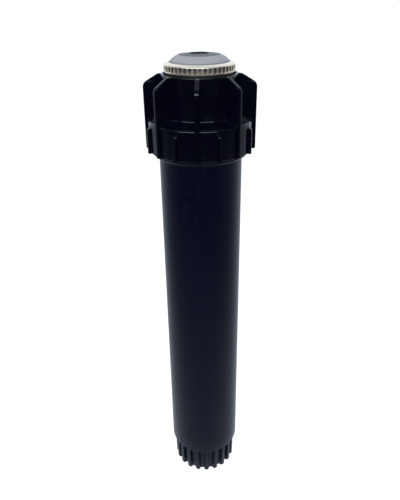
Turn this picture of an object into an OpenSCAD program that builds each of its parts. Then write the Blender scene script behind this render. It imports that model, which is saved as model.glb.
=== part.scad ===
// Pop up sprinkler: a spray body with a sprung riser and a multi-stream rotary nozzle.
// Z is up, the inlet boss stands on z = 0 and the riser's axis is the Z axis. Millimetres.

/* [Body] */
// Height of the ribbed inlet boss
boss_h = 16.8; // [16:0.1:18]
// Radius of the inlet boss between its ribs, at its foot
boss_r = 15.8; // [15.2:0.1:16.2]
// Radius over the tips of the boss ribs, at their foot
boss_tip_r = 17.6; // [17.2:0.1:17.8]
// Number of ribs round the boss
boss_ribs = 20; // [12:1:24]
// Angle of the first boss rib from the front wing, in degrees
first_rib = 6.5; // [0:0.5:9]
// Radius of the inlet bore, over the crests of its female thread
inlet_r = 9.3; // [9:0.1:9.6]
// Length of the inlet bore
inlet_len = 15; // [13:0.5:15]
// Outer radius of the tube
tube_r = 19.2; // [18.9:0.05:19.4]
// Radius of the bore that the riser travels in
bore_r = 16.6; // [16.2:0.1:16.8]
// Number of guide splines in the bore
splines = 8; // [4:1:10]

/* [Cap] */
// Height of the cap's lower edge
skirt_z = 195.9; // [195.8:0.1:196.2]
// Outer radius of the skirt
skirt_r = 23.5; // [22.8:0.1:23.7]
// Height at which the sloping shoulder meets the collar
shelf_z = 211.6; // [211.4:0.1:212]
// Height of the collar's rim
rim_z = 229.4; // [229.2:0.1:229.6]
// Outer radius of the collar's rim
rim_r = 17; // [16.8:0.1:17.3]
// Radius over the wings
wing_r = 25.2; // [24.6:0.1:26]
// Thickness of a wing
wing_t = 1.9; // [1.6:0.1:2.6]
// Number of wings, with a short grip rib between each two
wings = 8; // [6:1:10]

/* [Riser] */
// Outer radius of the riser and of the nozzle's skirt
stem_r = 9.5; // [9.4:0.05:9.5]
// Wire diameter of the retraction spring
spring_wire = 1.5; // [1.2:0.1:1.6]
// Turns of the retraction spring
spring_turns = 20; // [16:1:21]
// Ratchet teeth round the riser's foot
ratchet_teeth = 48; // [36:1:60]

/* [Nozzle] */
// Outer radius of the fluted arc ring
ring_r = 15.5; // [15.3:0.05:15.6]
// Number of flutes round the arc ring
flutes = 45; // [36:1:54]
// Radius of the turret's dome
dome_r = 13.2; // [13:0.05:13.3]
// Height of the top of the dome
dome_z = 236.9; // [236.8:0.1:237.2]
// Stream grooves in the deflector
grooves = 14; // [8:1:18]
// Arc through which the shutter disc is open, in degrees
arc_open = 210; // [180:5:210]

/* [Hidden] */
$fn = 96;
black = [0.06, 0.065, 0.075];
eps = 0.05;

// Body heights and clearances
floor_z = 20.4;
valve_seat_r = 8;
boss_draft = 0.3;
foot_round = 0.8;
neck_r = 19.5;
neck_top = 207.6;
bead_z = 195.4;
bead_r = 21.9;
fit = 0.06;
gap = 0.3;
spline_h = 1;
spline_w = 1.6;
spline_top = 204;
thread_pitch = 3.2;
thread_h = 0.6;

// Cap heights
ceiling_z = 208.3;
shoulder_z = shelf_z - 1.7;
shoulder_round = 1.4;
wing_round = 3;
wing_round_z = 223.5;
lip_z = 223.2;
lip_t = 1.2;
lip_r = 13.2;
seal_bore_r = 14.6;
skirt_in_r = neck_r + 1.2;

// Riser stack
foot_z = floor_z + 1.1;
flange_t = 2.8;
flange_r = 13.4;
tooth_h = 0.5;
seat_z = foot_z + flange_t + 2.5;
spring_top = 214.4;
spring_r = 12.3;
stem_top = 212.8;
stem_in_r = 7.7;
thread_r = 7.9;
thread_top = 222.4;
neck_in_r = 6.3;

// Nozzle stack, from the screw joint up
cup_z = 225.3;
cup_top = 229.7;
cup_r = 14.9;
sleeve_r = 13.6;
ring_z = 230;
ring_top = 233.4;
turret_travel = 4.5;
hub_z = 223.6;
shaft_r = 1.6;
guide_r = 2.4;
deck_z = 226.2;
shutter_z = 227.2;
throttle_travel = 2.1;
ledge_z = 209.8;
plug_top = ledge_z - turret_travel - throttle_travel - 0.2;
retainer_z = 212;
cavity_r = 8;
cavity_z = 231.4;
rim_top = 234.4;
lid_z = 235;
lid_edge = 236.8;
lid_top = 237.45;

// A solid of revolution from an outline of [radius, height] points
module turned(outline) {
    rotate_extrude() polygon(outline);
}

// A plain ring
module ring(r_out, r_in, z0, z1) {
    turned([[r_in, z0], [r_out, z0], [r_out, z1], [r_in, z1]]);
}

// Children repeated n times round the Z axis
module around(n, start = 0) {
    for (i = [0 : n - 1]) rotate([0, 0, start + i * 360 / n]) children();
}

// Points of an arc, for an outline
function arc(r, z, radius, a0, a1, n = 8) =
    [for (i = [0 : n]) let (a = a0 + (a1 - a0) * i / n) [r + radius * cos(a), z + radius * sin(a)]];

// An upright radial plate from an outline of [radius, height] points, pointing along -Y
module plate(thickness, outline) {
    rotate([0, 0, -90]) rotate([90, 0, 0])
        linear_extrude(height = thickness, center = true) polygon(outline);
}

// Height along a spring: its end turns lie closer than its working turns
function coil_rise(t, turns, wire, length) =
    let (dead = 1, end_rise = wire * 1.06,
         work = (length - wire - 2 * dead * end_rise) / (turns - 2 * dead))
    t < dead ? end_rise * t
    : t > turns - dead ? length - wire - end_rise * (turns - t)
    : end_rise * dead + work * (t - dead);

// A compression spring standing on z0
module coil(radius, wire, turns, z0, length, steps = 14, sides = 6) {
    n = turns * steps;
    section = [for (k = [0 : sides - 1]) 360 * k / sides];
    points = [
        for (i = [0 : n]) let (a = 360 * i / steps,
                               z = z0 + wire / 2 + coil_rise(i / steps, turns, wire, length))
            for (s = section)
                let (r = radius + wire / 2 * cos(s))
                [r * cos(a), r * sin(a), z + wire / 2 * sin(s)]
    ];
    sides_faces = [
        for (i = [0 : n - 1]) for (k = [0 : sides - 1])
            let (a = i * sides + k, b = i * sides + (k + 1) % sides)
            [a, b, b + sides, a + sides]
    ];
    start_face = [for (k = [sides - 1 : -1 : 0]) k];
    end_face = [for (k = [0 : sides - 1]) n * sides + k];
    polyhedron(points, concat(sides_faces, [start_face, end_face]), convexity = 10);
}

// ---- Body, fixed pieces ----

module body_case() {
    color(black) {
        turned(concat(
            [[inlet_r, 0], [boss_r, 0], [boss_r + boss_draft, boss_h]],
            arc(tube_r - foot_round, boss_h + foot_round, foot_round, -90, 0, 4),
            [[tube_r, bead_z - 2.6], [bead_r, bead_z - 1.2], [bead_r, bead_z],
             [neck_r, bead_z], [neck_r, neck_top], [bore_r, neck_top],
             [bore_r, floor_z], [inlet_r, floor_z]]));
        ring(inlet_r + eps, valve_seat_r, inlet_len, floor_z);
        around(boss_ribs, first_rib) plate(2.6, boss_rib_outline());
        around(splines) translate([-spline_w / 2, bore_r - spline_h, floor_z - eps])
            cube([spline_w, spline_h + 0.6, spline_top - floor_z]);
        for (z = [bead_z + 2.4 : thread_pitch : neck_top - 1.5]) neck_thread(z);
    }
}

function boss_rib_outline() =
    [[boss_r - 0.6, 0], [boss_tip_r, 0], [boss_tip_r + boss_draft, boss_h + 0.4], [boss_r, boss_h + 0.4]];

module neck_thread(z) {
    turned([[neck_r - eps, z - 0.8], [neck_r + thread_h, z - 0.3],
            [neck_r + thread_h, z + 0.3], [neck_r - eps, z + 0.8]]);
}

module screw_cap() {
    color(black) {
        turned(concat(
            [[skirt_in_r, skirt_z], [skirt_r, skirt_z]],
            arc(skirt_r - shoulder_round, shoulder_z - shoulder_round, shoulder_round, 0, 66, 4),
            arc(rim_r + 1.3, shelf_z + 1, 1, -114, -180, 5),
            [[rim_r - 0.6, rim_z - 7], [rim_r, rim_z - 1.2], [rim_r, rim_z - 0.3],
             [rim_r - 0.3, rim_z], [rim_r - 0.8, rim_z], [rim_r - 1.1, rim_z - 0.3],
             [rim_r - 1.5, lip_z + lip_t], [lip_r, lip_z + lip_t], [lip_r, lip_z],
             [seal_bore_r, lip_z], [seal_bore_r, ceiling_z], [skirt_in_r, ceiling_z]]));
        around(wings) plate(wing_t, wing_outline());
        around(wings, 180 / wings) grip_rib();
        for (z = [bead_z + 4 : thread_pitch : neck_top - 1.5]) cap_thread(z);
    }
}

function wing_outline() = concat(
    [[skirt_r - 1, skirt_z + 0.2], [wing_r, skirt_z + 0.2]],
    arc(wing_r - wing_round, wing_round_z, wing_round, 0, 59, 6),
    [[rim_r + 1.6, rim_z - 0.3], [rim_r - 0.2, rim_z - 0.1], [rim_r - 1, rim_z - 1.4], [rim_r - 1, shelf_z - 0.9],
     [skirt_in_r + 0.5, shoulder_z - 0.7], [skirt_r - 1, shoulder_z - 2.1]]);

module grip_rib() {
    w = 1.8;
    top = 207.5;
    r = skirt_r + 1.5;
    translate([0, -r + w / 2, skirt_z + 0.2]) cylinder(r = w / 2, h = top - skirt_z - 0.2 - w / 2);
    translate([0, -r + w / 2, top - w / 2]) sphere(r = w / 2);
    translate([-w / 2, -r + w / 2, skirt_z + 0.2]) cube([w, 1.6, top - skirt_z - 0.2 - w / 2]);
}

module cap_thread(z) {
    turned([[skirt_in_r + eps, z - 0.8], [skirt_in_r + eps, z + 0.8],
            [skirt_in_r - thread_h, z + 0.3], [skirt_in_r - thread_h, z - 0.3]]);
}

module cap_gasket() {
    color("dimgray") ring(neck_r - 0.3, bore_r + 0.3, neck_top, ceiling_z);
}

module wiper_seal() {
    lip = stem_r + fit;
    outside = seal_bore_r - fit;
    color("darkslategray") turned([
        [outside, lip_z - 2.2], [outside, lip_z], [lip_r - 0.2, lip_z],
        [lip_r - 0.8, lip_z + 1.6], [lip + 1.2, lip_z + 1.6], [lip, lip_z + 1],
        [lip, lip_z + 0.3], [lip + 0.9, lip_z - 0.6], [lip + 0.9, lip_z - 3.6],
        [lip, lip_z - 4.6], [lip, lip_z - 5.3], [lip + 1.3, lip_z - 5.3],
        [lip + 2.2, lip_z - 2.2]]);
}

module seal_support_ring() {
    color("gray") turned([
        [stem_r + gap, spring_top], [seal_bore_r, spring_top], [seal_bore_r, lip_z - 2.2],
        [lip_r - 0.9, lip_z - 2.2], [lip_r - 0.9, lip_z - 6.2], [stem_r + gap, lip_z - 6.2]]);
}

module retraction_spring() {
    color("silver") coil(spring_r, spring_wire, spring_turns, seat_z, spring_top - seat_z);
}

// ---- Riser ----

module ratchet_ring() {
    slot_w = spline_w + 2 * gap;
    slot_r = bore_r - spline_h - gap;
    top = foot_z + flange_t + 0.1;
    color("dimgray") {
        difference() {
            union() {
                ring(bore_r - gap, stem_r + fit, top, seat_z);
                ring(bore_r - gap, flange_r + tooth_h + gap, foot_z + 0.4, top + eps);
            }
            around(splines) translate([-slot_w / 2, slot_r, foot_z - 1])
                cube([slot_w, 3, seat_z - foot_z + 2]);
        }
        around(2, 22.5) translate([-0.6, -flange_r - tooth_h - gap - 0.3, foot_z + 0.8])
            cube([1.2, 0.4, flange_t - 1.2]);
    }
}

module riser_stem() {
    color(black) {
        turned([
            [stem_in_r, foot_z], [flange_r, foot_z], [flange_r, foot_z + flange_t],
            [stem_r, foot_z + flange_t], [stem_r, stem_top], [thread_r, stem_top],
            [thread_r, thread_top], [neck_in_r, thread_top], [neck_in_r, stem_top - 4],
            [stem_in_r, stem_top - 6]]);
        around(ratchet_teeth) ratchet_tooth();
    }
}

module ratchet_tooth() {
    half = 180 / ratchet_teeth;
    root = flange_r - 0.1;
    tip = flange_r + tooth_h;
    translate([0, 0, foot_z + 0.6]) linear_extrude(height = flange_t - 1.2)
        polygon([root * [sin(half), -cos(half)], [0, -flange_r + 1], root * [-sin(half), -cos(half)],
                 tip * [-sin(half * 0.4), -cos(half * 0.4)], tip * [0, -1]]);
}

module check_valve_holder() {
    color("dimgray") turned([
        [5.4, foot_z - 0.1], [9.2, foot_z - 0.1], [9.2, foot_z], [stem_in_r, foot_z],
        [stem_in_r, foot_z + 6], [stem_in_r - 1.1, foot_z + 6], [stem_in_r - 1.1, foot_z + 1.4],
        [5.4, foot_z + 1.4]]);
}

module check_valve_seal() {
    color("darkslategray") turned([
        [5.4, floor_z], [12.4, floor_z], [12.4, foot_z], [9.2, foot_z], [9.2, foot_z - 0.1],
        [5.4, foot_z - 0.1]]);
}

// ---- Nozzle, pieces fixed to the riser ----

module nozzle_base() {
    ports = 3;
    color(black) difference() {
        turned([
            [thread_r + fit, stem_top + 0.6], [stem_r, stem_top + 0.6], [stem_r, cup_z],
            [cup_r - 1, cup_z], [cup_r, cup_z + 1], [cup_r, cup_top],
            [sleeve_r + fit, cup_top], [sleeve_r + fit, deck_z], [guide_r + fit, deck_z],
            [guide_r + fit, hub_z - 0.2], [thread_r + fit, hub_z - 0.2]]);
        around(ports) port_slot(4.6, 8.4, 96, cup_z - 3, deck_z + 1);
        translate([-0.5, 0, hub_z - 1]) cube([1, guide_r + 0.6, deck_z - hub_z + 2]);
    }
}

// A curved slot between two radii, spanning an angle
module port_slot(r_in, r_out, span, z0, z1) {
    intersection() {
        ring(r_out, r_in, z0, z1);
        translate([0, 0, z0]) linear_extrude(height = z1 - z0)
            polygon(concat([[0, 0]], [for (i = [0 : 4]) let (a = -span / 2 + span * i / 4)
                                      30 * [cos(a), sin(a)]]));
    }
}

module nozzle_gasket() {
    color("darkslategray") ring(stem_r - 0.1, thread_r, stem_top, stem_top + 0.6);
}

module orifice_disc() {
    color("saddlebrown") difference() {
        ring(sleeve_r, guide_r + 1, deck_z, shutter_z - 0.2);
        rotate([0, 0, 180]) port_slot(4.6, 8.4, arc_open - 60, deck_z - 1, shutter_z + 1);
    }
}

module inlet_tube() {
    r = 5.4;
    color("dimgray") turned([
        [4.7, plug_top - 5], [r, plug_top - 5], [r, hub_z - 0.8], [neck_in_r + 0.5, hub_z - 0.8],
        [neck_in_r + 0.5, hub_z - 0.2], [4.7, hub_z - 0.2], [4.7, ledge_z + 1],
        [3.3, ledge_z + 1], [3.3, ledge_z], [4.7, ledge_z]]);
}

module filter_basket() {
    bottom = 180;
    win_z = 5.2;
    rows = 4;
    color("gainsboro") difference() {
        turned([
            [0, bottom], [5.4, bottom], [6.1, bottom + 1.4], [6.1, thread_top], [7.6, thread_top],
            [7.6, hub_z - 0.8], [5.5, hub_z - 0.8], [5.5, bottom + 1.4], [0, bottom + 1.4]]);
        for (row = [0 : rows - 1]) around(4) translate([-2.6, -8, bottom + 3 + row * (win_z + 1)])
            cube([5.2, 5, win_z]);
    }
}

module filter_mesh() {
    color("lightsteelblue") ring(5.45, 5.2, 181.6, plug_top - 5.3);
}

module turret_spring() {
    z0 = retainer_z + 1;
    color("silver") coil(3.7, 0.6, 5, z0, hub_z - 0.3 - z0, steps = 16);
}

// ---- Nozzle, arc adjustment ----

module arc_ring() {
    wall = 0.8;
    skin = ring_r - 0.45;
    color("gainsboro") {
        turned([
            [skin - wall, ring_z], [ring_r - 0.25, ring_z], [ring_r, ring_z + 0.3],
            [ring_r, ring_z + 0.45], [skin, ring_z + 0.45], [skin, ring_top - 0.75],
            [ring_r, ring_top - 0.75], [ring_r, ring_top - 0.2], [ring_r - 0.3, ring_top],
            [dome_r + 0.1, ring_top + 0.7], [dome_r + 0.1, ring_top - 0.2],
            [skin - wall, ring_top - 0.2]]);
        around(flutes) flute();
    }
}

module flute() {
    w = 1;
    translate([-w / 2, -ring_r + 0.05, ring_z + 0.3]) cube([w, 0.6, ring_top - ring_z - 0.7]);
}

module arc_sleeve() {
    wall = 12.6;
    skin = ring_r - 1.25;
    color("saddlebrown") difference() {
        turned([
            [guide_r + 1, shutter_z], [sleeve_r - fit, shutter_z], [sleeve_r - fit, ring_z - 1.9],
            [sleeve_r - 0.7, ring_z - 1.9], [sleeve_r - 0.7, ring_z - 0.9],
            [sleeve_r - fit, ring_z - 0.9], [sleeve_r - fit, ring_z], [skin, ring_z],
            [skin, ring_top - 0.2], [dome_r, ring_top - 0.2], [wall, ring_top - 0.6],
            [wall, shutter_z + 0.8], [guide_r + 1, shutter_z + 0.8]]);
        port_slot(4.6, 8.4, arc_open - 60, shutter_z - 1, shutter_z + 2);
    }
}

module arc_o_ring() {
    color("darkslategray") rotate_extrude() translate([sleeve_r - 0.38, ring_z - 1.4]) circle(r = 0.32);
}

// ---- Nozzle, rising shaft and its adjuster ----

module shaft_sleeve() {
    color("dimgray") {
        ring(guide_r, shaft_r + fit, plug_top + 3, 228.4);
        translate([-0.4, guide_r - 0.2, hub_z - 2]) cube([0.8, 0.6, 4.4]);
    }
}

module spring_retainer() {
    color("dimgray") ring(4.3, guide_r, retainer_z, retainer_z + 1);
}

module thrust_washer() {
    color("white") ring(3.2, shaft_r + fit, 228.4, 228.9);
}

module radius_shaft() {
    head_z = lid_z + 0.5;
    slot_w = 0.9;
    color("silver") difference() {
        turned([
            [0, plug_top - 4.6], [shaft_r, plug_top - 4.6], [shaft_r, head_z],
            [3.1, head_z], [3.1, head_z + 0.4], [2.9, head_z + 0.6], [0, head_z + 0.6]]);
        translate([-4, -slot_w / 2, head_z + 0.15]) cube([8, slot_w, 2]);
    }
}

module brake_rotor() {
    color("dimgray") difference() {
        ring(cavity_r - 0.5, shaft_r, cavity_z + 0.5, lid_z - 0.5);
        around(6) translate([0, 5, cavity_z]) cylinder(r = 1, h = 5, $fn = 24);
    }
}

module throttle_nut() {
    color("saddlebrown") turned([
        [shaft_r + fit, plug_top - 4], [4.2, plug_top - 4], [4.2, plug_top - 0.8],
        [3.6, plug_top], [guide_r + fit, plug_top], [guide_r + fit, plug_top - 1],
        [shaft_r + fit, plug_top - 1]]);
}

// ---- Nozzle, spinning turret ----

module deflector() {
    rim = 12.2;
    color("dimgray") difference() {
        turned([
            [shaft_r + fit, 229], [4.4, 229], [6.2, 229.5], [9.4, 231.2], [11.4, 232.8],
            [rim, 233.8], [rim, rim_top], [9.05, rim_top], [9.05, lid_z], [cavity_r, lid_z],
            [cavity_r, cavity_z], [3, cavity_z], [3, cavity_z - 1], [shaft_r + fit, cavity_z - 1]]);
        around(grooves) translate([1.1, -5.4, 228.9]) rotate([52, 0, 0])
            cylinder(r = 0.75, h = 12, $fn = 24);
    }
}

module turret_dome() {
    step = 12.3;
    color("darkgray") turned(concat(
        [[9.12, rim_top], [step, rim_top], [step, ring_top + 0.6]],
        arc(dome_r - 7.2, dome_z - 8.5, 9.1, 38, 68.8, 6),
        [[9.12, dome_z - 0.15]]));
}

module turret_lid() {
    recess_r = 4.1;
    color("gray") turned([
        [shaft_r + fit, lid_z], [9.1, lid_z], [9.1, lid_edge - 0.1], [8.9, lid_edge],
        [recess_r + 0.3, lid_top], [recess_r, lid_top - 0.15], [recess_r, lid_z + 0.4], [shaft_r + fit, lid_z + 0.4]]);
}

module shaft_seal() {
    color("darkslategray") ring(3, shaft_r + 0.05, cavity_z - 1, cavity_z - 0.1);
}

body_case();
screw_cap();
cap_gasket();
wiper_seal();
seal_support_ring();
retraction_spring();
ratchet_ring();
riser_stem();
check_valve_holder();
check_valve_seal();
nozzle_base();
nozzle_gasket();
orifice_disc();
inlet_tube();
filter_basket();
filter_mesh();
turret_spring();
arc_ring();
arc_sleeve();
arc_o_ring();
shaft_sleeve();
spring_retainer();
thrust_washer();
radius_shaft();
brake_rotor();
throttle_nut();
deflector();
turret_dome();
turret_lid();
shaft_seal();
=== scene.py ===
import math

import bpy
from mathutils import Matrix, Vector


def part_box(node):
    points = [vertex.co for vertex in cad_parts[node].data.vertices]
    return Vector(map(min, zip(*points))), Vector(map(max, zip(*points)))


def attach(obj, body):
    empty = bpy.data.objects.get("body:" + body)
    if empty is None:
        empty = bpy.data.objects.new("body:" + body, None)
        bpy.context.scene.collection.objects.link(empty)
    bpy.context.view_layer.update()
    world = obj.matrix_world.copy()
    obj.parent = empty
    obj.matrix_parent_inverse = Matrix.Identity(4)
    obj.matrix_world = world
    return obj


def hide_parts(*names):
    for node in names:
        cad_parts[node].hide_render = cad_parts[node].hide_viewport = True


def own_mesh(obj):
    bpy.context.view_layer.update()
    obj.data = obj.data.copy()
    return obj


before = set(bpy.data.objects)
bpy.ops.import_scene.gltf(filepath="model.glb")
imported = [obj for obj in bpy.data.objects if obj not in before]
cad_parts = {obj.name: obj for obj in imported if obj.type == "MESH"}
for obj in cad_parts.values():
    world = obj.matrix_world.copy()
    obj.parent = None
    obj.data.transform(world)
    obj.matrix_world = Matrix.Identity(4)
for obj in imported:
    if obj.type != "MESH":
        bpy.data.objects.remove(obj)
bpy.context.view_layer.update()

# ---------------------------------------------------------------- case
# The buried case is one black polypropylene moulding: a straight tube with a ribbed
# inlet boss at its foot and a threaded neck that the cap screws on to. The boss is
# gripped by its ribs while the supply pipe is screwed into the female thread below.

MM = 0.001
_, case_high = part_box("body_case")
neck_top = case_high.z
bead_r = case_high.x
bead_top = neck_top - 12.2 * MM
neck_r = bead_r - 2.4 * MM
neck_pitch = 3.2 * MM
boss_h = 16.8 * MM
boss_r = 15.8 * MM
boss_tip_r = 17.6 * MM
boss_draft = 0.3 * MM
boss_ribs = 20
first_rib = math.radians(6.5)
tube_r = 19.2 * MM
bore_r = 16.6 * MM
guide_rails = 8
rail_top = 204 * MM
floor_z = 20.4 * MM
floor_hole_r = 8 * MM
inlet_root_r = 10.4 * MM
inlet_len = 15 * MM
inlet_pitch = 1.81 * MM


class Wire:
    """A node socket that adds Math nodes when it is used in an expression."""

    def __init__(self, tree, socket=None):
        self.tree, self.socket = tree, socket

    def node(self, kind, settings=None, out=0, **sockets):
        """Any other node: its type, its settings, and the values or wires of its sockets."""
        made = self.tree.nodes.new(kind)
        for name, value in (settings or {}).items():
            if name == "stops":
                ramp = made.color_ramp.elements
                while len(ramp) < len(value):
                    ramp.new(0.5)
                for stop, (place, grey) in zip(ramp, value):
                    stop.position, stop.color = place, (grey, grey, grey, 1)
            else:
                setattr(made, name, value)
        for name, value in sockets.items():
            key = int(name[1:]) if name[0] == "_" else name.replace("_", " ")
            if isinstance(value, Wire):
                self.tree.links.new(value.socket, made.inputs[key])
            else:
                made.inputs[key].default_value = value
        return Wire(self.tree, made.outputs[out] if len(made.outputs) else None)

    def maths(self, operation, a, b=0.0, clamp=False):
        return self.node("ShaderNodeMath", {"operation": operation, "use_clamp": clamp}, _0=a, _1=b)

    def __add__(self, other):
        return self.maths("ADD", self, other)

    def __sub__(self, other):
        return self.maths("SUBTRACT", self, other)

    def __rsub__(self, other):
        return self.maths("SUBTRACT", other, self)

    def __mul__(self, other):
        return self.maths("MULTIPLY", self, other)

    def __truediv__(self, other):
        return self.maths("DIVIDE", self, other)

    def __rtruediv__(self, other):
        return self.maths("DIVIDE", other, self)

    __radd__ = __add__
    __rmul__ = __mul__

    def clamped(self):
        return self.maths("ADD", self, 0.0, clamp=True)

    def limit(self, low, high):
        return self.maths("MINIMUM", self.maths("MAXIMUM", self, low), high)


def blank_nodes(owner):
    """Clears the nodes of a material or of the world, and gives a wire to start from."""
    owner.use_nodes = True
    owner.node_tree.nodes.clear()
    return Wire(owner.node_tree)


def noise(place, size, detail=3.0):
    """Soft noise with features about this many metres across, from 0 to 1."""
    return place.node("ShaderNodeTexNoise", Vector=place, Scale=1 / size, Detail=detail)


def height_scaled(place, times):
    """A place for patterns that run up and down, below 1, or round the piece, above 1."""
    return place.node("ShaderNodeMapping", Vector=place, Scale=(1, 1, times))


def radius_and_height(place):
    """How far a place is from the Z axis, and its height."""
    x, y, z = [place.node("ShaderNodeSeparateXYZ", out=k, Vector=place) for k in range(3)]
    return place.maths("SQRT", x * x + y * y), z


def mixed(share, first, second):
    """Goes from one colour to another as the share goes from 0 to 1."""
    first, second = [c if isinstance(c, Wire) else (*c, 1) for c in (first, second)]
    return share.node("ShaderNodeMix", {"data_type": "RGBA"}, out=2, _0=share, _6=first, _7=second)


def moulded(name, colour, rough, grain=0.2, grain_size=0.25 * MM, mottle=0.15, scuff=0.1,
            specular=0.5, metal=0.0, darker=None):
    """A material whose colour, gloss and surface vary the way a moulding's or a turning's does.
    darker(radius, height) says how much painted shade darkens a place, from 0 to 1."""
    made = bpy.data.materials.new(name)
    start = blank_nodes(made)
    place = start.node("ShaderNodeTexCoord", out="Object")
    cloud = noise(place, 9 * MM)
    streak = noise(height_scaled(place, 0.12), 1.6 * MM)
    fine = noise(place, grain_size, 2.0)
    worn = start.node("ShaderNodeValToRGB", {"stops": [(0.56, 0.0), (0.72, 1.0)]},
                      Fac=noise(place, 3.2 * MM, 6.0))
    shade = mixed(cloud, [c * (1 - mottle) for c in colour], [c * (1 + mottle) for c in colour])
    shade = mixed(worn * scuff, shade, [min(1, c * 1.6 + 0.01) for c in colour])
    # Painted shade: the colour goes nearly black where darker() asks for it.
    if darker:
        shade = mixed(darker(*radius_and_height(place)), shade, [c * 0.15 for c in colour])
    gloss = (rough + (streak - 0.5) * 0.12 + worn * scuff * 0.6 + (cloud - 0.5) * 0.08).clamped()
    relief = start.node("ShaderNodeBump", Strength=grain, Distance=0.05 * MM, Height=fine + streak * 0.4)
    surface = start.node("ShaderNodeBsdfPrincipled", Base_Color=shade, Roughness=gloss, Normal=relief,
                         Metallic=metal, Specular_IOR_Level=specular)
    start.node("ShaderNodeOutputMaterial", Surface=surface)
    return made


def soften(outline, radius, steps=3):
    """A closed outline of (radius, height) points with its corners rounded."""
    points = []
    for i, corner in enumerate(outline):
        corner = Vector(corner)
        before = Vector(outline[i - 1]) - corner
        after = Vector(outline[(i + 1) % len(outline)]) - corner
        reach = min(radius, 0.42 * before.length, 0.42 * after.length)
        start, end = corner + before.normalized() * reach, corner + after.normalized() * reach
        if before.angle(after) > math.radians(165):
            points.append(tuple(corner))
            continue
        for k in range(steps + 1):
            t = k / steps
            points.append(tuple((1 - t) ** 2 * start + 2 * t * (1 - t) * corner + t * t * end))
    return points


def mesh_object(name, points, faces, finish=None):
    """A new piece from points in metres, with its faces smoothed except at sharp edges."""
    mesh = bpy.data.meshes.new(name)
    mesh.from_pydata([tuple(p) for p in points], [], faces)
    mesh.validate()
    made = bpy.data.objects.new(name, mesh)
    bpy.context.scene.collection.objects.link(made)
    if finish:
        mesh.materials.append(finish)
    smooth(made)
    return made


def smooth(piece, sharp=38):
    """Smooth shading, except at edges that bend by more than this many degrees."""
    piece.data.shade_smooth()
    piece.data.set_sharp_from_angle(angle=math.radians(sharp))


def spun(name, outline, finish, steps=96):
    """A solid of revolution round the Z axis. The outline runs anticlockwise, with r to the right."""
    angles = [2 * math.pi * k / steps for k in range(steps)]
    points = [(r * math.sin(a), -r * math.cos(a), z) for r, z in outline for a in angles]
    faces = []
    for i in range(len(outline)):
        here, there = i * steps, (i + 1) % len(outline) * steps
        for k in range(steps):
            n = (k + 1) % steps
            faces.append((here + k, here + n, there + n, there + k))
    return mesh_object(name, points, faces, finish)


def ridge(wall, tip, half, fillet, corner):
    """The outline across an upright rib that stands on a round wall, from root to root.

    Points are (sideways, outward). Where the rib doesn't stand proud, they lie on the wall."""
    height = tip - wall
    if height < 0.02 * MM:
        spread = [(-1 + k / 6) * (half + fillet) for k in range(13)]
        return [(x, math.sqrt(wall * wall - x * x)) for x in spread]
    fillet = min(fillet, height / 2.2)
    corner = min(corner, height / 2.2, half * 0.9)
    root = math.sqrt(wall * wall - (half + fillet) ** 2)
    left = []
    for turn in (0, math.pi / 4, math.pi / 2):
        left.append((-half - fillet + fillet * math.sin(turn), root + fillet - fillet * math.cos(turn)))
    for turn in (0, math.pi / 4, math.pi / 2):
        left.append((-half + corner - corner * math.cos(turn), tip - corner + corner * math.sin(turn)))
    return left + [(0, tip)] + [(-x, y) for x, y in reversed(left)]


def turned_by(points, angle):
    """(sideways, outward) points moved round the axis."""
    return [(x * math.cos(angle) + y * math.sin(angle), y * math.cos(angle) - x * math.sin(angle))
            for x, y in points]


def sector_row(wall, z, span, main, between=None, plain=4):
    """One row of a sector that is centred on a rib, with half of a lesser rib at each side."""
    middle = ridge(wall, *main)
    side = ridge(wall, *between) if between else None
    edge = span / 2
    near = math.atan2(middle[-1][0], middle[-1][1])
    far = edge - (math.atan2(side[-1][0], side[-1][1]) if side else 0)
    filler = [near + (far - near) * k / (plain + 1) for k in range(1, plain + 1)]
    if not side:
        filler.append(edge)
    right = [(wall * math.sin(a), wall * math.cos(a)) for a in filler]
    row = [(-x, y) for x, y in reversed(right)] + middle + right
    if side:
        row = turned_by(side[6:], -edge) + row + turned_by(side[:7], edge)
    return [(x, -y, z) for x, y in row]


def sector(name, rows):
    """A sector's skin from rows of points. The rows run right round the section."""
    wide = len(rows[0])
    points = [p for row in rows for p in row]
    faces = []
    for i in range(len(rows)):
        j = (i + 1) % len(rows)
        faces += [(i * wide + k, i * wide + k + 1, j * wide + k + 1, j * wide + k) for k in range(wide - 1)]
    return mesh_object(name, points, faces)


def round_the_axis():
    """Geometry Nodes: copies a sector round the Z axis and welds the seams."""
    tree = bpy.data.node_groups.new("Round the axis", "GeometryNodeTree")
    face = tree.interface
    face.new_socket("Sector", in_out="INPUT", socket_type="NodeSocketGeometry")
    face.new_socket("Count", in_out="INPUT", socket_type="NodeSocketInt")
    face.new_socket("Turn", in_out="INPUT", socket_type="NodeSocketFloat")
    face.new_socket("Weld", in_out="INPUT", socket_type="NodeSocketFloat")
    face.new_socket("Finish", in_out="INPUT", socket_type="NodeSocketMaterial")
    face.new_socket("Geometry", in_out="OUTPUT", socket_type="NodeSocketGeometry")
    start = Wire(tree)
    given = tree.nodes.new("NodeGroupInput")
    sector_in, count, turn, weld, finish = [Wire(tree, socket) for socket in given.outputs[:5]]
    index = start.node("GeometryNodeInputIndex")
    angle = index * (2 * math.pi) / count + turn
    euler = start.node("ShaderNodeCombineXYZ", Z=angle)
    spin = start.node("FunctionNodeEulerToRotation", Euler=euler)
    places = start.node("GeometryNodePoints", Count=count)
    copies = start.node("GeometryNodeInstanceOnPoints", Points=places, Instance=sector_in, Rotation=spin)
    real = start.node("GeometryNodeRealizeInstances", Geometry=copies)
    welded = start.node("GeometryNodeMergeByDistance", Geometry=real, Distance=weld)
    done = start.node("GeometryNodeSetMaterial", Geometry=welded, Material=finish)
    start.node("NodeGroupOutput", _0=done)
    return tree


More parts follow.
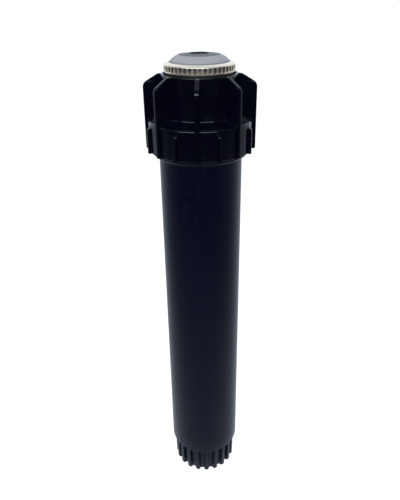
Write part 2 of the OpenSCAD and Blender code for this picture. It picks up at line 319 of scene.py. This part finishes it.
def apply_nodes(piece, tree, **inputs):
    """Runs a Geometry Nodes tree on a piece and keeps the result as its plain mesh."""
    maker = piece.modifiers.new(tree.name, "NODES")
    maker.node_group = tree
    for item in tree.interface.items_tree:
        if item.in_out == "INPUT" and item.name in inputs:
            maker[item.identifier] = inputs[item.name]
    bpy.context.view_layer.update()
    graph = bpy.context.evaluated_depsgraph_get()
    mesh = bpy.data.meshes.new_from_object(piece.evaluated_get(graph))
    piece.modifiers.clear()
    piece.data = mesh
    smooth(piece)
    return piece


def joined(first, *others):
    """Several meshes made one piece."""
    for piece in bpy.context.selected_objects:
        piece.select_set(False)
    for piece in (first, *others):
        piece.select_set(True)
    bpy.context.view_layer.objects.active = first
    bpy.ops.object.join()
    return first


def helix_ridge(name, outline, root_r, z_start, z_end, pitch, finish, steps=40):
    """A thread: a small (outward, up) outline swept along a helix, its ends run out to nothing."""
    turns = (z_end - z_start) / pitch
    rows = int(turns * steps)
    points, faces, wide = [], [], len(outline)
    for i in range(rows + 1):
        t = i / rows
        angle = 2 * math.pi * turns * t
        fade = min(1, 8 * t + 0.05, 8 * (1 - t) + 0.05)
        for out, up in outline:
            r = root_r + out * fade
            points.append((r * math.sin(angle), -r * math.cos(angle), z_start + (z_end - z_start) * t + up))
    for i in range(rows):
        for k in range(wide):
            n = (k + 1) % wide
            faces.append((i * wide + k, i * wide + n, (i + 1) * wide + n, (i + 1) * wide + k))
    faces.append(tuple(range(wide))[::-1])
    faces.append(tuple(rows * wide + k for k in range(wide)))
    return mesh_object(name, points, faces, finish)


case_finish = moulded("Satin black case", (0.0012, 0.002, 0.012), 0.3, grain=0.2, mottle=0.2, specular=0.25)


def case_rows():
    """One sector of the case, as rows that run up its outside, down its bore and out round its foot."""
    rib_shape = (1.35 * MM, 0.5 * MM, 0.95 * MM)
    bare = (0, *rib_shape)
    span = 2 * math.pi / boss_ribs
    foot_round = 0.8 * MM

    def on_boss(z, out=0.0, rib_out=0.0):
        draft = boss_draft * z / boss_h
        return boss_r + draft + out, z, (boss_tip_r + draft + rib_out, *rib_shape)

    outer = [on_boss(0.6 * MM), on_boss(boss_h), (boss_r + boss_draft, boss_h, bare)]
    for step in range(6):
        angle = math.radians(-90 + 18 * step)
        outer.append((tube_r - foot_round + foot_round * math.cos(angle),
                      boss_h + foot_round + foot_round * math.sin(angle), bare))
    tube_rows = 20
    low, high = boss_h + foot_round, bead_top - 2.8 * MM
    outer += [(tube_r, low + (high - low) * k / tube_rows, bare) for k in range(1, tube_rows + 1)]
    upper = soften([(tube_r, high + 0.1 * MM), (bead_r - 0.4 * MM, bead_top - 1.2 * MM),
                    (bead_r, bead_top - 0.8 * MM), (bead_r, bead_top), (neck_r, bead_top),
                    (neck_r, neck_top), (bore_r, neck_top), (bore_r, floor_z), (floor_hole_r, floor_z),
                    (floor_hole_r, inlet_len), (inlet_root_r, inlet_len)], 0.4 * MM)[3:]
    outer += [(r, z, bare) for r, z in upper]
    outer += [(inlet_root_r, 0.8 * MM, bare), (inlet_root_r + 0.8 * MM, 0, bare),
              (boss_r - 0.7 * MM, 0, bare), on_boss(0, -0.5 * MM, -0.6 * MM),
              on_boss(0.2 * MM, -0.1 * MM, -0.15 * MM)]
    return [sector_row(r, z, span, shape, plain=2) for r, z, shape in outer]


around_axis = round_the_axis()
case = sector("case_moulding", case_rows())
apply_nodes(case, around_axis, Count=boss_ribs, Turn=first_rib, Weld=0.002 * MM, Finish=case_finish)

inlet_form = [(0.3 * MM, -0.85 * MM), (0.3 * MM, 0.85 * MM), (-1.1 * MM, 0.1 * MM), (-1.1 * MM, -0.1 * MM)]
inlet_thread = helix_ridge("inlet_thread", inlet_form, inlet_root_r, 1.6 * MM, inlet_len - 1.2 * MM,
                           inlet_pitch, case_finish)
neck_form = [(-0.3 * MM, -0.9 * MM), (0.55 * MM, -0.25 * MM), (0.55 * MM, 0.25 * MM), (-0.3 * MM, 0.9 * MM)]
neck_thread = helix_ridge("neck_thread", neck_form, neck_r, bead_top + 2.2 * MM,
                          neck_top - 1.8 * MM, neck_pitch, case_finish, 72)


def rails():
    """The guide rails inside the bore: one bar, copied round by the node tree."""
    half, depth = 0.8 * MM, 1.0 * MM
    bevel, root, crest = 0.3 * MM, -bore_r - 0.4 * MM, -bore_r + depth
    section = [(-half, root), (half, root), (half, crest - bevel), (half - bevel, crest),
               (-half + bevel, crest), (-half, crest - bevel)]
    points = [(x, y, z) for z in (floor_z, rail_top) for x, y in section]
    faces = [(k, (k + 1) % 6, 6 + (k + 1) % 6, 6 + k) for k in range(6)]
    faces += [tuple(range(6))[::-1], tuple(range(6, 12))]
    bar = mesh_object("guide_rails", points, faces)
    return apply_nodes(bar, around_axis, Count=guide_rails, Turn=0.0, Weld=0.0, Finish=case_finish)


case = joined(case, inlet_thread, neck_thread, rails())
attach(case, "case")
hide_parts("body_case")

# ---------------------------------------------------------------- cap
# The screw cap is moulded in a glossier black plastic. Eight tall wings give the hand
# its grip and eight short ribs stand between them on the skirt. Its collar holds the
# wiper seal and shelters the nozzle when the riser is down.

cap_low, cap_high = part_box("screw_cap")
skirt_z = cap_low.z
rim_z = cap_high.z
wing_r = cap_high.x
skirt_r = 23.5 * MM
skirt_in_r = 20.7 * MM
shoulder_z = 209.9 * MM
shelf_z = 211.6 * MM
collar_foot_r = 17.5 * MM
waist_r, waist_z = 16.35 * MM, 222.6 * MM
rim_r = 17 * MM
well_r = 15.5 * MM
lip_z = 223.2 * MM
lip_top = lip_z + 1.2 * MM
seal_bore_r = 14.6 * MM
cap_hole_r = 13.2 * MM
ceiling_z = 208.3 * MM
grip_top = 207.5 * MM
grip_out = skirt_r + 1.5 * MM
grip_round = 1.1 * MM
wings = 8
cap_finish = moulded("Gloss black cap", (0.001, 0.0012, 0.0055), 0.2, grain=0.1, mottle=0.2, scuff=0.06,
                     specular=0.3)


def wing_profile():
    """(tip radius, height) along a wing's outer edge, from its foot to the rim."""
    round_r, round_z, waist = 3 * MM, 223.5 * MM, 209 * MM
    points = [(wing_r - 0.3 * MM, skirt_z + 0.2 * MM), (wing_r, skirt_z + 0.5 * MM), (wing_r, waist)]
    for step in range(10):
        angle = math.radians(59 * step / 9)
        points.append((wing_r - round_r + round_r * math.cos(angle), round_z + round_r * math.sin(angle)))
    start, bend = Vector(points[-1]), Vector((rim_r + 1.6 * MM, rim_z - 0.3 * MM))
    points += [tuple(start.lerp(bend, k / 6)) for k in range(1, 7)]
    points.append((rim_r - 0.2 * MM, rim_z - 0.1 * MM))
    return points


def radius_at(points, z):
    """The radius at a height along a profile of (radius, height) points."""
    for (r0, z0), (r1, z1) in zip(points, points[1:]):
        if z0 <= z <= z1:
            return r0 if z1 - z0 < 1e-9 else r0 + (r1 - r0) * (z - z0) / (z1 - z0)
    return 0


def cap_rows():
    """One sector of the cap, with a wing in the middle and half of a grip rib at each side."""
    wing_half, grip_half, shoulder_round = 0.94 * MM, 0.85 * MM, 1.4 * MM
    edge = wing_profile()
    shoulder = [(skirt_r - shoulder_round * (1 - math.cos(math.radians(a))),
                 shoulder_z - shoulder_round * (1 - math.sin(math.radians(a)))) for a in range(0, 67, 11)]
    wall = soften([(skirt_in_r, skirt_z), (skirt_r, skirt_z), *shoulder, (collar_foot_r, shelf_z),
                   (waist_r, waist_z), (rim_r, rim_z - 1 * MM), (rim_r, rim_z),
                   (well_r + 0.4 * MM, rim_z), (well_r, lip_top), (cap_hole_r, lip_top),
                   (cap_hole_r, lip_z), (seal_bore_r, lip_z), (seal_bore_r, ceiling_z),
                   (skirt_in_r, ceiling_z)], 0.5 * MM, 4)
    outside_from = next(i for i, p in enumerate(wall) if p[0] > skirt_r - 0.5 * MM)
    outside_to = next(i for i, p in enumerate(wall) if p[1] > rim_z - 0.1 * MM)
    grip_stops = {grip_top - grip_round * (1 - math.sin(math.radians(a))) for a in range(0, 81, 20)}
    stops = sorted({z for _, z in edge} | grip_stops)
    shape = []
    for i, (r, z) in enumerate(wall):
        shape.append((r, z, outside_from <= i <= outside_to))
        after = wall[(i + 1) % len(wall)]
        if outside_from <= i < outside_to and after[1] - z > 1e-6:
            shape += [(r + (after[0] - r) * (stop - z) / (after[1] - z), stop, True)
                      for stop in stops if z + 1e-6 < stop < after[1] - 1e-6]
    rows = []
    foot = skirt_z + 0.2 * MM
    for r, z, outside in shape:
        tip = radius_at(edge, z) if outside and z >= foot else 0
        grip = 0
        if outside and foot <= z <= grip_top:
            rise = max(0, (z - (grip_top - grip_round)) / grip_round)
            grip = skirt_r + (grip_out - skirt_r) * math.sqrt(max(0, 1 - rise * rise))
        wing = (tip, wing_half, 0.5 * MM, 0.4 * MM)
        rib = (grip, grip_half, 0.4 * MM, 0.6 * MM)
        if abs(z - foot) < 1e-7:
            rows.append(sector_row(r, z, 2 * math.pi / wings, (0, *wing[1:]), (0, *rib[1:])))
        rows.append(sector_row(r, z, 2 * math.pi / wings, wing, rib))
    return rows


cap = sector("cap_moulding", cap_rows())
apply_nodes(cap, around_axis, Count=wings, Turn=0.0, Weld=0.002 * MM, Finish=cap_finish)
cap_form = [(0.3 * MM, -0.9 * MM), (0.3 * MM, 0.9 * MM), (-0.55 * MM, 0.25 * MM), (-0.55 * MM, -0.25 * MM)]
cap_thread = helix_ridge("cap_thread", cap_form, skirt_in_r, bead_top + 3.8 * MM,
                         neck_top - 1.6 * MM, neck_pitch, cap_finish, 72)
cap = joined(cap, cap_thread)
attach(cap, "case")
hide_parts("screw_cap")

# ---------------------------------------------------------------- seals
# The wiper, the cap gasket and the small washers are soft black elastomer. The wiper
# is pushed up into the collar, where its two lips wipe grit off the riser.

rubber = moulded("Black elastomer", (0.022, 0.022, 0.024), 0.62, grain=0.35, grain_size=0.15 * MM, scuff=0.2)
lip_r = 9.56 * MM
wiper = spun("wiper", soften([
    (seal_bore_r, lip_z - 2.2 * MM), (seal_bore_r, lip_z), (13 * MM, lip_z), (12.4 * MM, lip_z + 1.6 * MM),
    (lip_r + 1.2 * MM, lip_z + 1.6 * MM), (lip_r, lip_z + 1 * MM), (lip_r, lip_z + 0.3 * MM),
    (lip_r + 0.9 * MM, lip_z - 0.6 * MM), (lip_r + 0.9 * MM, lip_z - 3.6 * MM), (lip_r, lip_z - 4.6 * MM),
    (lip_r, lip_z - 5.3 * MM), (lip_r + 1.3 * MM, lip_z - 5.3 * MM), (lip_r + 2.2 * MM, lip_z - 2.2 * MM)],
    0.2 * MM), rubber)
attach(wiper, "case")
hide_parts("wiper_seal")


def paint(finish, *nodes):
    """Gives carried-over frame pieces a finish."""
    for node in nodes:
        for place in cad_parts[node].material_slots:
            place.material = finish


paint(rubber, "cap_gasket", "check_valve_seal", "nozzle_gasket", "arc_o_ring", "shaft_seal")

# ---------------------------------------------------------------- springs
# Both springs are drawn stainless wire with their end turns wound close. The long one
# pulls the riser down when the water stops, the tiny one pulls the turret down.


def coil_tree():
    """Geometry Nodes: a compression spring standing on Base."""
    tree = bpy.data.node_groups.new("Compression spring", "GeometryNodeTree")
    face = tree.interface
    for name in ("Radius", "Wire", "Turns", "Base", "Length"):
        face.new_socket(name, in_out="INPUT", socket_type="NodeSocketFloat")
    face.new_socket("Finish", in_out="INPUT", socket_type="NodeSocketMaterial")
    face.new_socket("Geometry", in_out="OUTPUT", socket_type="NodeSocketGeometry")
    start = Wire(tree)
    given = tree.nodes.new("NodeGroupInput")
    radius, wire, turns, base, length, finish = [Wire(tree, socket) for socket in given.outputs[:6]]
    line = start.node("GeometryNodeCurvePrimitiveLine")
    dense = start.node("GeometryNodeResampleCurve", Curve=line, Count=turns * 28 + 1)
    turn = start.node("GeometryNodeSplineParameter") * turns
    angle = turn * (2 * math.pi)
    close = wire * 1.06
    working = (length - wire - close * 2) / (turns - 2)
    ends = turn.limit(0, 1) + (turn - turns + 1).limit(0, 1)
    rise = ends * close + (turn - 1).limit(0, turns - 2) * working
    place = start.node("ShaderNodeCombineXYZ", X=start.maths("COSINE", angle) * radius,
                       Y=start.maths("SINE", angle) * radius, Z=base + wire * 0.5 + rise)
    bent = start.node("GeometryNodeSetPosition", Geometry=dense, Position=place)
    section = start.node("GeometryNodeCurvePrimitiveCircle", Resolution=10, Radius=wire * 0.5)
    swept = start.node("GeometryNodeCurveToMesh", Curve=bent, Profile_Curve=section, Fill_Caps=True)
    real = start.node("GeometryNodeRealizeInstances", Geometry=swept)
    done = start.node("GeometryNodeSetMaterial", Geometry=real, Material=finish)
    start.node("NodeGroupOutput", _0=done)
    return tree


wire_finish = moulded("Drawn stainless wire", (0.56, 0.56, 0.57), 0.3, grain=0.15, mottle=0.08, metal=1.0)
coil = coil_tree()


def spring(name, node, turns, wire, travel):
    """A spring in a node's place, with its top's height and what its joint leaves of its length."""
    low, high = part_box(node)
    piece = mesh_object(name, [(0, 0, 0)], [])
    apply_nodes(piece, coil, Radius=(high.x - low.x) / 2 - wire / 2, Wire=wire, Turns=float(turns),
                Base=low.z, Length=high.z - low.z, Finish=wire_finish)
    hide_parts(node)
    return piece, high.z, 1 - travel / (high.z - low.z)


riser_spring, spring_top, left = spring("riser_spring", "retraction_spring", 20, 1.5 * MM, 150 * MM)
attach(riser_spring, "case")
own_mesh(riser_spring)
return_spring, spring_top, left = spring("turret_return_spring", "turret_spring", 5, 0.6 * MM, 4.5 * MM)
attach(return_spring, "riser")
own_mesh(return_spring)

# ---------------------------------------------------------------- riser
# The riser is a smooth black tube that slides up through the wiper. Fine ratchet teeth
# round its foot flange click past the ratchet ring, so the nozzle can be aimed.

riser_low, riser_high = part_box("riser_stem")
stem_r = 9.5 * MM
stem_bore_r = 7.7 * MM
stem_top = 212.8 * MM
thread_r = 7.9 * MM
thread_bore_r = 6.3 * MM
flange_r = 13.4 * MM
flange_top = riser_low.z + 2.8 * MM
teeth = 48
riser_finish = moulded("Smooth black riser", (0.012, 0.012, 0.014), 0.24, grain=0.1, mottle=0.15, scuff=0.12)


def riser_rows():
    """One sector of the riser, centred on a ratchet tooth of its foot flange."""
    tooth = (riser_high.x, 0.3 * MM, 0.1 * MM, 0.1 * MM)
    flat = (0, *tooth[1:])
    low = riser_low.z
    tooth_low, tooth_high = low + 0.6 * MM, flange_top - 0.6 * MM
    outline = soften([
        (stem_bore_r, low), (flange_r, low), (flange_r, flange_top), (stem_r, flange_top),
        (stem_r, stem_top), (thread_r, stem_top), (thread_r, riser_high.z), (thread_bore_r, riser_high.z),
        (thread_bore_r, stem_top - 4 * MM), (stem_bore_r, stem_top - 6 * MM)], 0.35 * MM)
    shape = []
    for r, z in outline:
        shape.append((r, z, flat))
        if r > flange_r - 0.01 * MM and z < tooth_low:
            shape += [(flange_r, tooth_low, flat), (flange_r, tooth_low, tooth),
                      (flange_r, tooth_high, tooth), (flange_r, tooth_high, flat)]
    return [sector_row(r, z, 2 * math.pi / teeth, kind, plain=1) for r, z, kind in shape]


riser = sector("riser_tube", riser_rows())
apply_nodes(riser, around_axis, Count=teeth, Turn=0.0, Weld=0.002 * MM, Finish=riser_finish)
riser_form = [(-0.3 * MM, -0.35 * MM), (0.05 * MM, -0.08 * MM),
              (0.05 * MM, 0.08 * MM), (-0.3 * MM, 0.35 * MM)]
riser_thread = helix_ridge("riser_thread", riser_form, thread_r, stem_top + 1.4 * MM,
                           riser_high.z - 1 * MM, 0.91 * MM, riser_finish, 48)
riser = joined(riser, riser_thread)
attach(riser, "riser")
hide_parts("riser_stem")

# ---------------------------------------------------------------- nozzle body
# The nozzle screws on the riser. Its skirt is as wide as the riser and its cup, which
# drops into the cap's collar, holds the arc valve and the rising shaft.

nozzle_finish = moulded("Black nozzle plastic", (0.016, 0.016, 0.018), 0.38, grain=0.2)
paint(nozzle_finish, "nozzle_base")
grey_acetal = moulded("Grey acetal", (0.30, 0.31, 0.32), 0.42, grain=0.15)
paint(grey_acetal, "seal_support_ring", "ratchet_ring", "check_valve_holder", "inlet_tube", "shaft_sleeve",
      "spring_retainer", "brake_rotor")
brown_acetal = moulded("Brown acetal", (0.20, 0.11, 0.065), 0.42, grain=0.15)
paint(brown_acetal, "orifice_disc", "arc_sleeve", "throttle_nut")
pale_plastic = moulded("Pale filter plastic", (0.72, 0.71, 0.68), 0.45, grain=0.2)
paint(pale_plastic, "filter_basket")
white_plastic = moulded("White washer", (0.82, 0.82, 0.80), 0.35, grain=0.1)
paint(white_plastic, "thrust_washer")
screen = moulded("Woven screen", (0.55, 0.56, 0.57), 0.35, grain=0.6, grain_size=0.2 * MM, metal=1.0)
paint(screen, "filter_mesh")

# ---------------------------------------------------------------- arc ring
# The ring that sets the arc is pressed from bright stainless steel. Its side is fluted
# for the fingers, and its rolled top lip slopes in to the turret.

ring_low, ring_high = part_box("arc_ring")
ring_r = ring_high.x
ring_z = ring_low.z
ring_edge = ring_high.z - 0.7 * MM
ring_in_r = ring_r - 1.25 * MM
lip_in_r = 13.3 * MM
flutes = 45
flute_floor_r = ring_r - 0.55 * MM
flute_low, flute_high = ring_z + 0.6 * MM, ring_edge - 0.35 * MM


def fluted_steel():
    """Bright warm stainless, dull and dark brown in the flutes: painted shade in the hollows, along with
    dirt.
    """
    made = bpy.data.materials.new("Fluted stainless")
    start = blank_nodes(made)
    place = start.node("ShaderNodeTexCoord", out="Object")
    radius, z = radius_and_height(place)
    depth = ((ring_r - 0.1 * MM - radius) / (0.3 * MM)).clamped()
    above_foot = ((z - flute_low) / (0.2 * MM)).clamped()
    below_top = ((flute_high + 0.1 * MM - z) / (0.1 * MM)).clamped()
    brushed = noise(height_scaled(place, 6), 0.9 * MM)
    # The flute floors are painted dark brown and less metallic: painted shade in the hollows, along with
    # dirt.
    flute_shade_and_dirt = depth * above_foot * below_top * (0.75 + 0.5 * noise(place, 2.5 * MM)).clamped()
    colour = mixed(flute_shade_and_dirt, (1.0, 0.88, 0.71), (0.075, 0.047, 0.036))
    relief = start.node("ShaderNodeBump", Strength=0.12, Distance=0.03 * MM, Height=brushed)
    surface = start.node("ShaderNodeBsdfPrincipled", Base_Color=colour, Metallic=1 - flute_shade_and_dirt * 0.7,
                         Roughness=0.36 + brushed * 0.08 + flute_shade_and_dirt * 0.1, Normal=relief)
    start.node("ShaderNodeOutputMaterial", Surface=surface)
    return made


def ring_rows():
    """One sector of the ring, centred on a land, with half of a round-ended flute at each side."""
    pitch = 2 * math.pi * ring_r / flutes
    flute_half, fillet = 0.66 * MM, 0.12 * MM

    def plain(r, z):
        return r, z, (0, 0.5 * MM, fillet, fillet)

    def fluted(wall, z, share):
        return wall, z, (ring_r, pitch / 2 - flute_half * share - fillet, fillet, 0.14 * MM)

    shape = [plain(ring_in_r, ring_z), plain(ring_in_r + 0.2 * MM, ring_z),
             plain(ring_r - 0.3 * MM, ring_z), plain(ring_r - 0.08 * MM, ring_z + 0.08 * MM),
             plain(ring_r, ring_z + 0.25 * MM), plain(ring_r, flute_low)]
    for wall, rise, share in ((0.15, 0.05, 0.75), (0.35, 0.2, 0.95), (0.5, 0.4, 1), (0.55, 0.55, 1)):
        shape.append(fluted(ring_r - wall * MM, flute_low + rise * MM, share))
    for drop, share in ((0.7, 1), (0.45, 0.93), (0.25, 0.76), (0.1, 0.5), (0.02, 0.22)):
        shape.append(fluted(flute_floor_r, flute_high - drop * MM, share))
    shape += [plain(ring_r, flute_high), plain(ring_r, ring_edge - 0.2 * MM),
              plain(ring_r - 0.07 * MM, ring_edge - 0.08 * MM),
              plain(ring_r - 0.25 * MM, ring_edge + 0.05 * MM),
              plain(lip_in_r + 0.2 * MM, ring_high.z - 0.03 * MM), plain(lip_in_r, ring_high.z),
              plain(lip_in_r, ring_edge - 0.2 * MM), plain(ring_in_r, ring_edge - 0.2 * MM)]
    return [sector_row(r, z, 2 * math.pi / flutes, land, plain=2) for r, z, land in shape]


ring = sector("fluted_ring", ring_rows())
apply_nodes(ring, around_axis, Count=flutes, Turn=0.0, Weld=0.001 * MM, Finish=fluted_steel())
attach(ring, "arc_adjuster")
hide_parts("arc_ring")

# ---------------------------------------------------------------- turret
# The spinning turret is a grey dome snapped over a dark cone whose curved grooves throw
# the streams. A darker disc closes the brake chamber, with a hole over the radius screw.

_, dome_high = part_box("turret_dome")
dome_foot = dome_high.z - 2.9 * MM
dome_in_r, dome_step_r, dome_foot_r = 9.12 * MM, 12.3 * MM, 13.0 * MM
dome_bend = 9.1 * MM
# The dome's colour is darkened towards its foot: painted shade where it sits down in the ring.
dome_finish = moulded("Mid grey dome", (0.44, 0.415, 0.40), 0.5, mottle=0.06, scuff=0.08, specular=0.3,
                      darker=lambda r, z: ((dome_foot + 0.8 * MM - z) / (1.1 * MM)).clamped())


def on_dome(degrees, out=0.0):
    """(radius, height) on the dome's curved side, or a little proud of it."""
    angle = math.radians(degrees)
    reach = dome_bend + out
    return 6 * MM + reach * math.cos(angle), dome_high.z - 8.5 * MM + reach * math.sin(angle)


def index_tick():
    """A low bar that lies along the dome's side, ready to be copied round the axis."""
    points = []
    for degrees, half in ((49, 0.05), (49.6, 0.13), (54.4, 0.13), (55, 0.05)):
        for side, out in ((-1, -0.1), (-1, 0.03), (-0.6, 0.09), (0.6, 0.09), (1, 0.03), (1, -0.1)):
            r, z = on_dome(degrees, out * MM)
            points.append((side * half * MM, -r, z))
    faces = [(6 * i + k, 6 * i + (k + 1) % 6, 6 * i + 6 + (k + 1) % 6, 6 * i + 6 + k)
             for i in range(3) for k in range(6)]
    faces += [tuple(range(6))[::-1], tuple(range(18, 24))]
    return mesh_object("index_ticks", points, faces)


crown = [on_dome(38 + 3.08 * k) for k in range(11)]
dome = spun("dome", [(dome_in_r, dome_foot + 0.4 * MM), (dome_step_r, dome_foot + 0.4 * MM),
                     (dome_step_r, dome_foot), (dome_foot_r, dome_foot), *crown,
                     (dome_in_r + 0.06 * MM, dome_high.z - 0.02 * MM),
                     (dome_in_r, dome_high.z - 0.15 * MM)], dome_finish, 128)
ticks = apply_nodes(index_tick(), around_axis, Count=36, Turn=0.0, Weld=0.0, Finish=dome_finish)
dome = joined(dome, ticks)
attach(dome, "turret")
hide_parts("turret_dome")

lid_low, lid_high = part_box("turret_lid")
recess_r = 4.1 * MM
# The lid's colour is darkened inside the recess round the screw hole: painted shade.
lid_finish = moulded("Dark grey lid", (0.155, 0.145, 0.14), 0.5, grain=0.3, mottle=0.12, specular=0.3,
                     darker=lambda r, z: ((recess_r + 0.2 * MM - r) / (0.1 * MM)).clamped())
lid_edge = lid_high.z - 0.65 * MM
shaft_hole_r, recess_z = 1.66 * MM, lid_low.z + 0.4 * MM
lid = spun("lid_disc", soften([
    (shaft_hole_r, lid_low.z), (lid_high.x, lid_low.z), (lid_high.x, lid_edge - 0.1 * MM),
    (8.9 * MM, lid_edge), (8.5 * MM, lid_edge), (8.2 * MM, lid_edge - 0.06 * MM),
    (6.2 * MM, lid_high.z - 0.22 * MM), (recess_r + 0.4 * MM, lid_high.z),
    (recess_r, lid_high.z - 0.15 * MM), (recess_r, recess_z), (shaft_hole_r, recess_z)],
    0.15 * MM), lid_finish)
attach(lid, "turret")
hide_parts("turret_lid")

dark_acetal = moulded("Dark grey acetal", (0.09, 0.095, 0.10), 0.4, grain=0.15)
paint(dark_acetal, "deflector")
# The shaft's steel is given a nearly black colour: painted shade down the lid's hole, where its head shows.
shaft_steel_in_painted_shade = moulded("Turned stainless", (0.07, 0.07, 0.072), 0.5, grain=0.15, metal=1.0)
paint(shaft_steel_in_painted_shade, "radius_shaft")

# ---------------------------------------------------------------- studio
# A white tent: the floor and the surround are plain white, brighter behind and beside
# the sprinkler than in front of it, so that its black plastic keeps dark faces with pale
# edges. A wide, low softbox above and in front puts small glints on the rounded corners.

bpy.ops.mesh.primitive_plane_add(size=30, location=(0, 0, -0.2 * MM))
floor = bpy.context.object
floor.name = "floor"
floor_finish = bpy.data.materials.new("White floor")
floor_finish.use_nodes = True
shader = floor_finish.node_tree.nodes["Principled BSDF"]
shader.inputs["Base Color"].default_value = (0.5, 0.5, 0.5, 1)
shader.inputs["Roughness"].default_value = 0.9
shader.inputs["Specular IOR Level"].default_value = 0.0
shader.inputs["Emission Color"].default_value = (1, 1, 1, 1)
shader.inputs["Emission Strength"].default_value = 0.85
floor.data.materials.append(floor_finish)
floor.visible_glossy = False
floor.visible_diffuse = False

world = bpy.data.worlds.new("White tent")
bpy.context.scene.world = world
sky = blank_nodes(world)
way = sky.node("ShaderNodeTexCoord", out="Generated")
_, ahead, up = [sky.node("ShaderNodeSeparateXYZ", out=k, Vector=way) for k in range(3)]
ahead = ahead * 0.5 + 0.5
over = sky.node("ShaderNodeValToRGB", {"stops": [
    (0.32, 0.02), (0.5, 0.22), (0.63, 0.38), (0.75, 0.75), (0.84, 1.05)]}, Fac=ahead)
near = sky.node("ShaderNodeValToRGB", {"stops": [
    (0.3, 0.02), (0.47, 0.07), (0.53, 0.16), (0.6, 0.35), (0.68, 0.5), (0.9, 0.6)]}, Fac=up * -1.0)
beside = sky.node("ShaderNodeValToRGB", {"stops": [(0.2, 0.0), (0.6, 0.25), (0.9, 0.75)]}, Fac=ahead)
above = (up * 8.0 + 1.7).clamped()
below = near * (1 - beside) + beside
bright = over * above + below * (1 - above)
seen = sky.node("ShaderNodeLightPath")
shown = mixed(seen, (0.86, 0.97, 1.12), (1, 1, 1))
strength = bright * (1 - seen) + seen
tent = sky.node("ShaderNodeBackground", Color=shown, Strength=strength)
sky.node("ShaderNodeOutputWorld", Surface=tent)


softbox = bpy.data.lights.new("softbox", "AREA")
softbox.shape = "RECTANGLE"
softbox.size, softbox.size_y = 1500 * MM, 140 * MM
softbox.energy = 10
softbox.color = (0.8, 0.92, 1.0)
stand = bpy.data.objects.new("softbox", softbox)
stand.location = (-50 * MM, -720 * MM, 660 * MM)
aim = Vector((0, 0, 210 * MM)) - stand.location
stand.rotation_euler = aim.to_track_quat("-Z", "Y").to_euler()
bpy.context.scene.collection.objects.link(stand)

# ---------------------------------------------------------------- camera
# The camera stands close and a little above the sprinkler, tipped down at it, and
# turned slightly so that the front wing sits left of the middle.

distance, height = 231.5 * MM, 262.7 * MM
pitch, turn, roll = math.radians(27.44), math.radians(3.2), -0.0139
camera = bpy.data.cameras.new("camera")
camera.sensor_width = 36
camera.lens = 36.6
camera.shift_x = -0.004
camera.clip_start = 0.01
view = bpy.data.objects.new("camera", camera)
away = Vector((math.sin(turn), -math.cos(turn), 0))
forward = -away * math.cos(pitch) - Vector((0, 0, math.sin(pitch)))
across = forward.cross(Vector((0, 0, 1))).normalized()
upward = across.cross(forward)
across, upward = (math.cos(roll) * across + math.sin(roll) * upward,
                  -math.sin(roll) * across + math.cos(roll) * upward)
view.matrix_world = Matrix.Translation(away * distance + Vector((0, 0, height))) @ Matrix(
    (across, upward, -forward)).transposed().to_4x4()
bpy.context.scene.collection.objects.link(view)
bpy.context.scene.camera = view
bpy.context.scene.view_settings.view_transform = "Standard"
